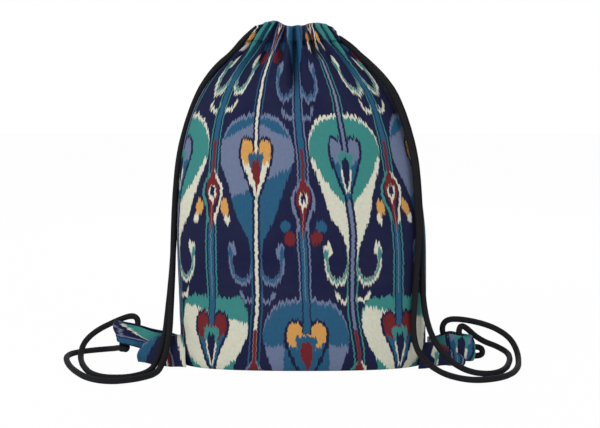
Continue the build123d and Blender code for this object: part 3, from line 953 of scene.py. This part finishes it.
def make_strand(end, word, route, material):
    """One free strand, in two pieces: an upper one from the mouth and a lower one down to the tab."""
    look = sizes()
    low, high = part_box(f"{end}_knot")
    centre = (low + high) / 2
    last = Vector(route[-1])
    touch = centre + (last - centre).normalized() * ((high.x - low.x) / 2 - 0.001)
    line = route_line(list(route) + [tuple(touch)])
    cut = next(index for index, spot in enumerate(line) if spot.z < STRAND_SPLIT)
    above = line[:cut + 1]
    below = line[cut:]
    name = f"{end}_{word}_cord"
    upper, upper_length = tube(f"{name}_upper", above, look.cord / 2, material)
    lower, lower_length = tube(f"{name}_lower", below, look.cord / 2, material, start_run=upper_length)
    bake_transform(upper)
    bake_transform(lower)
    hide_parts(f"{end}_{word}_top", f"{end}_{word}_strand")
    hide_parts(f"{end}_{word}_tail")
    tuple(above[0])
    [tuple(spot) for spot in above]
    tuple(below[0])
    [tuple(spot) for spot in below]


def make_tail(material):
    """The cord's loose tail past the right knot."""
    look = sizes()
    line = route_line(TAIL_ROUTE)
    piece, length = tube("right_cord_end", line, look.cord / 2, material)
    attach(piece, "right_strap_end")
    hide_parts("right_cord_tail")
    [tuple(spot) for spot in line]


def make_knot(end, tilt, material):
    """An overhand knot, as a short cord that passes through its own loop."""
    look = sizes()
    low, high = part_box(f"{end}_knot")
    centre = (low + high) / 2
    turn = Matrix.Rotation(tilt, 3, "Y") @ Matrix.Rotation(0.5, 3, "X")
    count = 26
    points = []
    for number in range(count):
        angle = 2 * math.pi * (number + 0.5) / count * 0.94 + 0.1
        flat = Vector((math.sin(angle) + 2 * math.sin(2 * angle), math.cos(angle) - 2 * math.cos(2 * angle),
                       -1.25 * math.sin(3 * angle)))
        points.append(tuple(centre + turn @ flat * (look.knot / 3)))
    piece, length = tube(f"{end}_overhand_knot", route_line(points, 4), look.cord * 0.42, material, sides=10)
    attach(piece, f"{end}_strap_end")
    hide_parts(f"{end}_knot")


def make_casing_cord(end, height, sag, exit_x, turn_x, material):
    """One cord inside the casing: its front run with the turn at the far end, and its back run."""
    look = sizes()
    way = 1 if turn_x > exit_x else -1
    middle = (exit_x + turn_x) / 2
    low = height - sag
    front = [(exit_x, -0.0060, height), (blend_numbers(exit_x, middle, 0.5), -0.0074, low),
             (middle, -0.0081, low), (blend_numbers(middle, turn_x, 0.6), -0.0076, low),
             (turn_x, -0.0060, low), (turn_x + way * 0.0055, -0.0025, low),
             (turn_x + way * 0.0055, 0.0025, low), (turn_x, 0.0060, low)]
    back = [(turn_x, 0.0060, low), (blend_numbers(middle, turn_x, 0.6), 0.0076, low),
            (middle, 0.0081, low), (blend_numbers(exit_x, middle, 0.5), 0.0074, low),
            (exit_x, 0.0060, height)]
    for word, points, nodes in (("front", front, ("front_run", "bight")), ("back", back, ("back_run",))):
        piece, length = tube(f"{end}_cord_in_{word}_casing", route_line(points), look.cord / 2, material)
        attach(piece, f"{word}_mouth")
        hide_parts(*(f"{end}_cord_{node}" for node in nodes))


# Tabs

def loop_path(reach, throat, throat_half, nose_half, root_half):
    """A point and a way out on the folded strip's line, seen from above, for s from 0 to 1."""
    straight = reach - nose_half
    nose = math.pi * nose_half
    total = 2 * straight + nose

    def half(u):
        if u < throat:
            return blend_numbers(root_half, throat_half, ramp(u, 0.0, throat))
        return blend_numbers(throat_half, nose_half, (u - throat) / max(straight - throat, 1e-6))

    def at(s):
        run = s * total
        if run < straight:
            return run, -half(run), Vector((0, -1))
        if run > straight + nose:
            u = max(total - run, 0.0)
            return u, half(u), Vector((0, 1))
        angle = (run - straight) / nose_half - math.pi / 2
        return (straight + nose_half * math.cos(angle), nose_half * math.sin(angle),
                Vector((math.cos(angle), math.sin(angle))))

    return at, total


def make_tab(end, look_at, material):
    """The folded strip of cloth at a bottom corner, closed into a loop round the cord."""
    sign = -1 if end == "left" else 1
    low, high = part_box(f"{end}_tab")
    reach = look_at["reach"]
    at, total = loop_path(reach, 0.016, 0.0080, 0.0092, 0.0020)
    turn = Matrix.Rotation(look_at["turn"], 3, "Z")

    def place(s, t):
        u, w, out = at(s)
        share = u / reach
        foot = blend_numbers(look_at["foot"][0], look_at["foot"][1], share)
        top = blend_numbers(look_at["top"][0], look_at["top"][1], share)
        top += look_at["hump"] * math.exp(-((u - look_at["hump_at"]) / 0.011) ** 2)
        crease = 0.0016 * math.sin((u * 0.8 + t * 0.024 * look_at["slant"]) / 0.0062 + look_at["seed"])
        crumple = 0.0020 * noise.noise(Vector((u / 0.016, t * 1.6 + (w > 0) * 4.0, look_at["seed"])))
        bulge = (crease * ramp(share, 0.05, 0.3) + crumple) * min(1.0, 6 * share)
        belly = 0.0016 * math.sin(math.pi * t) * ramp(share, 0.1, 0.4)
        spot = Vector((sign * (u + out.x * (bulge + belly)), w + out.y * (bulge + belly),
                       blend_numbers(foot, top, t) + 0.0008 * math.sin(u / 0.007 + look_at["seed"])))
        spot = turn @ spot
        return Vector((spot.x + sign * TAB_AXIS, spot.y, max(spot.z, 0.0006)))

    def uv(s, t):
        if look_at["lengthwise"]:
            return look_at["print"][0] + t * TAB_WIDTH, look_at["print"][1] + (s - 0.5) * total
        return look_at["print"][0] + (s - 0.5) * total, look_at["print"][1] + t * TAB_WIDTH

    piece = cloth_piece(f"{end}_corner_tab", 150, 26, place, uv, material, sizes().tab_cloth, flip=sign < 0)
    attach(piece, f"{end}_strap_end")
    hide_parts(f"{end}_tab")


def make_flap(end, outline, puff, print_at, material, seed):
    """A soft fold of the tab's cloth in front of its loop: four corners, bottom first, from the bag out."""
    near_low, far_low, far_top, near_top = (Vector(corner) for corner in outline)
    sign = -1 if end == "left" else 1
    width = (far_low - near_low).length

    def place(s, t):
        low = near_low.lerp(far_low, s)
        high = near_top.lerp(far_top, s)
        spot = low.lerp(high, t)
        swell = math.sin(math.pi * min(max(t, 0.0), 1.0)) ** 0.7 if 0 < t < 1 else 0.0
        crumple = noise.noise(Vector((s * 3.1, t * 2.2, seed)))
        ridge = math.sin((s * 1.7 - t) * 6.0 + seed)
        spot.y -= (puff + 0.0028 * crumple + 0.0016 * ridge) * swell
        spot.x += sign * 0.0038 * math.sin(math.pi * t) * s ** 3
        spot.z += (0.0036 * math.sin(math.pi * s) + 0.0010 * math.sin(s * 9.0 + seed)) * t
        spot.z += 0.0012 * math.sin(s * 7.0 + seed) * (1 - t) ** 2
        return Vector((spot.x, spot.y, max(spot.z, 0.0007)))

    def uv(s, t):
        return print_at[0] + (1 - s) * width, print_at[1] + t * 0.032

    piece = cloth_piece(f"{end}_tab_fold", 56, 34, place, uv, material, sizes().tab_cloth, flip=sign < 0)
    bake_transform(piece)


def make_tab_root(end, material, thread):
    """The tab's sewn end inside the bag's corner, with its tacks."""
    low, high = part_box(f"{end}_tab_root")

    def place(s, t):
        wave = 0.0005 * math.sin(s * 5.0 + t * 4.0)
        return Vector((blend_numbers(low.x, high.x, s), wave - 0.0010, blend_numbers(low.z, high.z, t)))

    def uv(s, t):
        return 0.010 + s * 0.015, 0.200 + t * 0.029

    piece = cloth_piece(f"{end}_tab_root_cloth", 16, 20, place, uv, material, 0.0022)
    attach(piece, "bag")
    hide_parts(f"{end}_tab_root")
    tack_low, tack_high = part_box(f"{end}_tab_tacks")
    ends = []
    for side in (-1, 1):
        for rise in (tack_low.z + 0.0004, tack_high.z - 0.0004):
            start = Vector((tack_low.x, side * 0.0021, rise))
            ends.append((start, Vector((tack_high.x, side * 0.0021, rise)), Vector((0, side, 0))))
    tacks = stitch_mesh(f"{end}_tab_tack_stitches", ends, 0.0008, thread)
    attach(tacks, "bag")
    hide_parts(f"{end}_tab_tacks")


def make_seam(name, shape, material):
    """A seam's raw edge inside the bag, as a slightly wavy strip of the canvas's reverse."""
    low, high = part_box(name)
    flat = high.z - low.z < 0.02
    way = -1 if name.startswith("left") else 1

    def place(s, t):
        height = blend_numbers(low.z, high.z, t)
        if flat:
            wave = 0.0008 * math.sin(s * 60.0)
            return Vector((blend_numbers(low.x, high.x, s), (low.y + high.y) / 2 + wave, height))
        edge = shape.point(way, height, -1)[0].x
        wave = 0.0009 * math.sin(t * 80.0) * s
        return Vector((edge - way * (0.0022 + s * 0.007), wave, height))

    def uv(s, t):
        return s * 0.2, t * 0.2

    across, along = (90, 6) if flat else (6, 90)
    piece = cloth_piece(f"{name}_edge", across, along, place, uv, material, 0.0012)
    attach(piece, "bag")
    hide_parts(name)


# Operators

class BACKPACK_OT_stage(Operator):
    """Add the camera, the floor, the world and the lights"""
    bl_idname = "backpack.stage"
    bl_label = "Stage"

    def execute(self, context):
        scene = context.scene
        scene.view_settings.view_transform = "Standard"
        lens = bpy.data.cameras.new("Camera")
        lens.lens = 82.4
        lens.sensor_width = 36.0
        lens.clip_end = 50.0
        scene.camera = add_object("Camera", lens)
        aim(scene.camera, (-0.0035, -1.6, 0.34), (-0.0035, 0.0, 0.1744))

        bm = bmesh.new()
        bmesh.ops.create_grid(bm, x_segments=4, y_segments=4, size=6.0)
        floor = finish_mesh("floor", bm, floor_material())

        tree = Tree("World", bpy.data.worlds)
        soft = tree.node("ShaderNodeBackground", None, {"Color": (0.95, 0.97, 1.0, 1.0), "Strength": 0.55})
        white = tree.node("ShaderNodeBackground", None, {"Color": (1.0, 1.0, 1.0, 1.0), "Strength": 1.0})
        seen = tree.node("ShaderNodeLightPath")
        mixed = tree.node("ShaderNodeMixShader", None, (seen, soft, white))
        scene.world = tree.show(mixed, "ShaderNodeOutputWorld")

        self.lamp("Key", (-1.1, -1.3, 1.25), (0, 0, 0.2), 0.9, 17.0)
        self.lamp("Fill", (1.3, -1.2, 0.7), (0, 0, 0.18), 1.2, 5.0)
        self.lamp("Back", (0.2, 1.6, 1.1), (0, 0, 0.2), 1.2, 11.0)
        return {"FINISHED"}

    def lamp(self, name, place, target, size, power):
        light = bpy.data.lights.new(name, "AREA")
        light.size = size
        light.energy = power
        aim(add_object(name, light), place, target)


class BACKPACK_OT_cords(Operator):
    """Add the four cord strands, the loose tail, the knots and the cords inside the casing"""
    bl_idname = "backpack.cords"
    bl_label = "Cords and knots"

    def execute(self, context):
        braid = braided_cord()
        for end, word, route in (("left", "front", LEFT_FRONT_ROUTE), ("left", "back", LEFT_BACK_ROUTE),
                                 ("right", "front", RIGHT_FRONT_ROUTE), ("right", "back", RIGHT_BACK_ROUTE)):
            make_strand(end, word, route, braid)
        make_tail(braid)
        make_knot("left", 0.6, braid)
        make_knot("right", -0.9, braid)
        make_casing_cord("left", 0.3906, 0.0042, LEFT_FRONT_ROUTE[0][0], 0.014, braid)
        make_casing_cord("right", 0.3790, 0.0002, RIGHT_FRONT_ROUTE[0][0], -0.046, braid)
        return {"FINISHED"}


class BACKPACK_OT_cloth(Operator):
    """Add the front and back panels with their gathers, casing and stitches"""
    bl_idname = "backpack.cloth"
    bl_label = "Canvas panels"

    def execute(self, context):
        shape = BagShape()
        canvas = printed_canvas()
        thread = sewing_thread()
        for word, side, folds in (("front", -1, FRONT_FOLDS), ("back", 1, BACK_FOLDS)):
            surface = make_cloth(shape, word, side, folds, canvas)
            casing_stitches(surface, word, thread)
        reverse = reverse_canvas()
        for name in ("bottom_seam", "left_side_seam", "right_side_seam"):
            make_seam(name, shape, reverse)
        return {"FINISHED"}


class BACKPACK_OT_tabs(Operator):
    """Add the folded cloth tabs at the bottom corners"""
    bl_idname = "backpack.tabs"
    bl_label = "Corner tabs"

    def execute(self, context):
        canvas = bpy.data.materials["Printed canvas"]
        thread = bpy.data.materials["Sewing thread"]
        make_tab("left", {"reach": 0.074, "turn": math.radians(8.4), "foot": (0.001, 0.027),
                          "top": (0.030, 0.050), "hump": 0.0, "hump_at": 0.02, "slant": 1.0, "seed": 0.7,
                          "lengthwise": True, "print": (-0.002, 0.300)}, canvas)
        make_tab("right", {"reach": 0.054, "turn": math.radians(-10.0), "foot": (0.001, 0.003),
                           "top": (0.028, 0.032), "hump": 0.005, "hump_at": 0.024, "slant": -1.0,
                           "seed": 2.3, "lengthwise": False, "print": (0.076, 0.215)}, canvas)
        make_flap("left", [(-0.1350, -0.0480, 0.0010), (-0.1930, -0.0185, 0.0012),
                           (-0.1860, -0.0165, 0.0255), (-0.1385, -0.0180, 0.0335)],
                  0.0040, (-0.032, 0.197), canvas, 1.3)
        make_flap("right", [(0.1330, -0.0470, 0.0010), (0.1860, -0.0300, 0.0010),
                            (0.1850, -0.0190, 0.0110), (0.1385, -0.0170, 0.0270)],
                  0.0034, (-0.006, 0.120), canvas, 4.1)
        for end in ("left", "right"):
            make_tab_root(end, canvas, thread)
        return {"FINISHED"}


class BACKPACK_PT_panel(Panel):
    """The backpack's pieces and its sizes and colours"""
    bl_idname = "BACKPACK_PT_panel"
    bl_label = "Drawstring Backpack"
    bl_space_type = "VIEW_3D"
    bl_region_type = "UI"
    bl_category = "Backpack"

    def draw(self, context):
        layout = self.layout
        for operator in OPERATORS:
            layout.operator(operator.bl_idname)
        for group in (context.scene.bag_sizes, context.scene.bag_colours):
            for name in group.bl_rna.properties.keys():
                if name not in ("rna_type", "name"):
                    layout.prop(group, name)


OPERATORS = (BACKPACK_OT_stage, BACKPACK_OT_cords, BACKPACK_OT_cloth, BACKPACK_OT_tabs)
CLASSES = (BagSizes, BagColours, *OPERATORS, BACKPACK_PT_panel)


def register():
    for made in CLASSES:
        bpy.utils.register_class(made)
    bpy.types.Scene.bag_sizes = PointerProperty(type=BagSizes)
    bpy.types.Scene.bag_colours = PointerProperty(type=BagColours)


def unregister():
    del bpy.types.Scene.bag_colours
    del bpy.types.Scene.bag_sizes
    for made in reversed(CLASSES):
        bpy.utils.unregister_class(made)


def main():
    register()
    bpy.ops.backpack.stage()
    bpy.ops.backpack.cords()
    bpy.ops.backpack.cloth()
    bpy.ops.backpack.tabs()
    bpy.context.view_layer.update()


if __name__ == "__main__":
    main()
